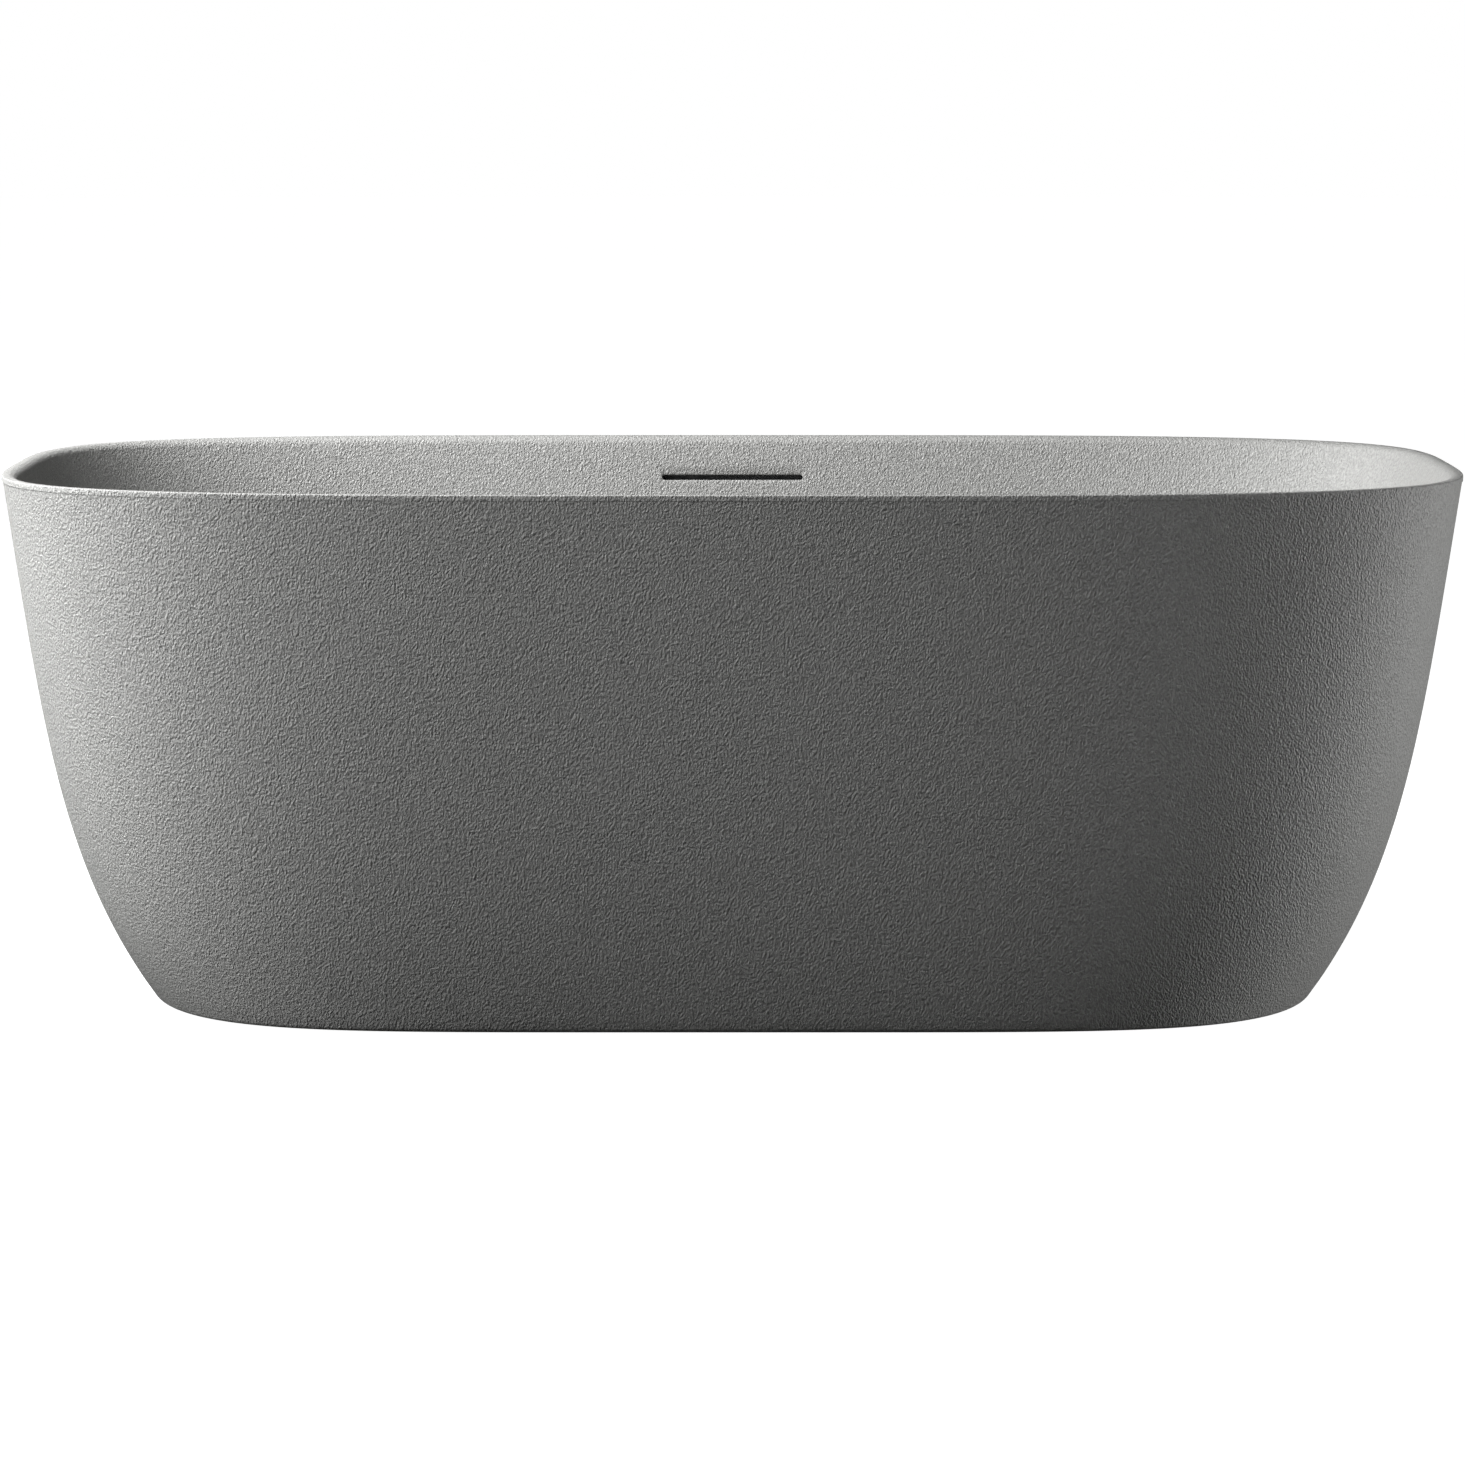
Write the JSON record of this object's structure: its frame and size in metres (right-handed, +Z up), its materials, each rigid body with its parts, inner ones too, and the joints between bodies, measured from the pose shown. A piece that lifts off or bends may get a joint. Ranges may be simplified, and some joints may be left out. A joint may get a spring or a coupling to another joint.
{
  "type": "freestanding bathtub",
  "caption": "Oval freestanding double-walled bathtub with a thin rim, rear overflow slot, pop-up waste, trap and a levelled steel frame inside its skirt.",
  "frame": {"origin": "on the floor under the middle of the tub's length and width", "axes": "+X along the tub's length, +Y towards the rear wall with the overflow slot, +Z up"},
  "size_m": [1.6, 0.75, 0.58],
  "materials": {
    "stone_grey": "matt, fine leather grain",
    "bond_white": "matt cured adhesive",
    "board_wood": "raw board, resin sealed",
    "block_wood": "raw softwood",
    "galvanised": "galvanised",
    "zinc": "zinc plated",
    "satin_steel": "satin",
    "brass": "machined",
    "rubber": "matt",
    "grey_plastic": "moulded, satin",
    "black_plastic": "moulded, satin"
  },
  "bodies": {
    "root": {"basin": "stone_grey", "bracket_screw_left_front": "zinc", "bracket_screw_left_rear": "zinc", "bracket_screw_right_front": "zinc", "bracket_screw_right_rear": "zinc", "click_cartridge": "brass", "cross_tube_left": "galvanised", "cross_tube_right": "galvanised", "floor_board": "board_wood", "frame_rail_front": "galvanised", "frame_rail_rear": "galvanised", "hose_clip_lower": "zinc", "hose_clip_upper": "zinc", "lock_nut_left_front": "zinc", "lock_nut_left_rear": "zinc", "lock_nut_right_front": "zinc", "lock_nut_right_rear": "zinc", "outlet_nut": "black_plastic", "outlet_pipe": "grey_plastic", "overflow_channel": "grey_plastic", "overflow_hose": "black_plastic", "overflow_seal": "rubber", "plug_spring": "zinc", "rim_bond": "bond_white", "skirt": "stone_grey", "skirt_block_left_front": "block_wood", "skirt_block_left_rear": "block_wood", "skirt_block_right_front": "block_wood", "skirt_block_right_rear": "block_wood", "skirt_bracket_left_front": "galvanised", "skirt_bracket_left_rear": "galvanised", "skirt_bracket_right_front": "galvanised", "skirt_bracket_right_rear": "galvanised", "trap_bowl": "grey_plastic", "trap_nut": "black_plastic", "trap_seal": "rubber", "waste_body": "grey_plastic", "waste_flange": "satin_steel", "waste_seal_lower": "rubber", "waste_seal_upper": "rubber", "weld_nut_left_front": "zinc", "weld_nut_left_rear": "zinc", "weld_nut_right_front": "zinc", "weld_nut_right_rear": "zinc"},
    "foot_left_front": {"foot_pad_left_front": "black_plastic"},
    "stud_left_front": {"foot_stud_left_front": "zinc"},
    "foot_left_rear": {"foot_pad_left_rear": "black_plastic"},
    "stud_left_rear": {"foot_stud_left_rear": "zinc"},
    "foot_right_front": {"foot_pad_right_front": "black_plastic"},
    "stud_right_front": {"foot_stud_right_front": "zinc"},
    "foot_right_rear": {"foot_pad_right_rear": "black_plastic"},
    "stud_right_rear": {"foot_stud_right_rear": "zinc"},
    "plug": {"plug_cap": "satin_steel", "plug_seal": "rubber", "plug_stem": "brass"}
  },
  "joints": [
    {"name": "foot_height_left_front", "type": "slide", "parent": "root", "child": "foot_left_front", "axis": [0, 0, -1], "range_m": [-0.008, 0.015]},
    {"name": "stud_turn_left_front", "type": "hinge", "parent": "foot_left_front", "child": "stud_left_front", "pos_m": [-0.42611, -0.26689, 0], "axis": [0, 0, 1], "range_deg": [-3090, 1650]},
    {"name": "foot_height_left_rear", "type": "slide", "parent": "root", "child": "foot_left_rear", "axis": [0, 0, -1], "range_m": [-0.008, 0.015]},
    {"name": "stud_turn_left_rear", "type": "hinge", "parent": "foot_left_rear", "child": "stud_left_rear", "pos_m": [-0.42611, 0.26689, 0], "axis": [0, 0, 1], "range_deg": [-3090, 1650]},
    {"name": "foot_height_right_front", "type": "slide", "parent": "root", "child": "foot_right_front", "axis": [0, 0, -1], "range_m": [-0.008, 0.015]},
    {"name": "stud_turn_right_front", "type": "hinge", "parent": "foot_right_front", "child": "stud_right_front", "pos_m": [0.42611, -0.26689, 0], "axis": [0, 0, 1], "range_deg": [-3090, 1650]},
    {"name": "foot_height_right_rear", "type": "slide", "parent": "root", "child": "foot_right_rear", "axis": [0, 0, -1], "range_m": [-0.008, 0.015]},
    {"name": "stud_turn_right_rear", "type": "hinge", "parent": "foot_right_rear", "child": "stud_right_rear", "pos_m": [0.42611, 0.26689, 0], "axis": [0, 0, 1], "range_deg": [-3090, 1650]},
    {"name": "plug_lift", "type": "slide", "parent": "root", "child": "plug", "axis": [0, 0, 1], "range_m": [-0.0015, 0.01], "deforming": ["plug_spring"]}
  ],
  "couplings": [
    {"joint": "stud_turn_left_front", "follows": "foot_height_left_front", "rad_per_m": -3590.4},
    {"joint": "stud_turn_left_rear", "follows": "foot_height_left_rear", "rad_per_m": -3590.4},
    {"joint": "stud_turn_right_front", "follows": "foot_height_right_front", "rad_per_m": -3590.4},
    {"joint": "stud_turn_right_rear", "follows": "foot_height_right_rear", "rad_per_m": -3590.4}
  ]
}
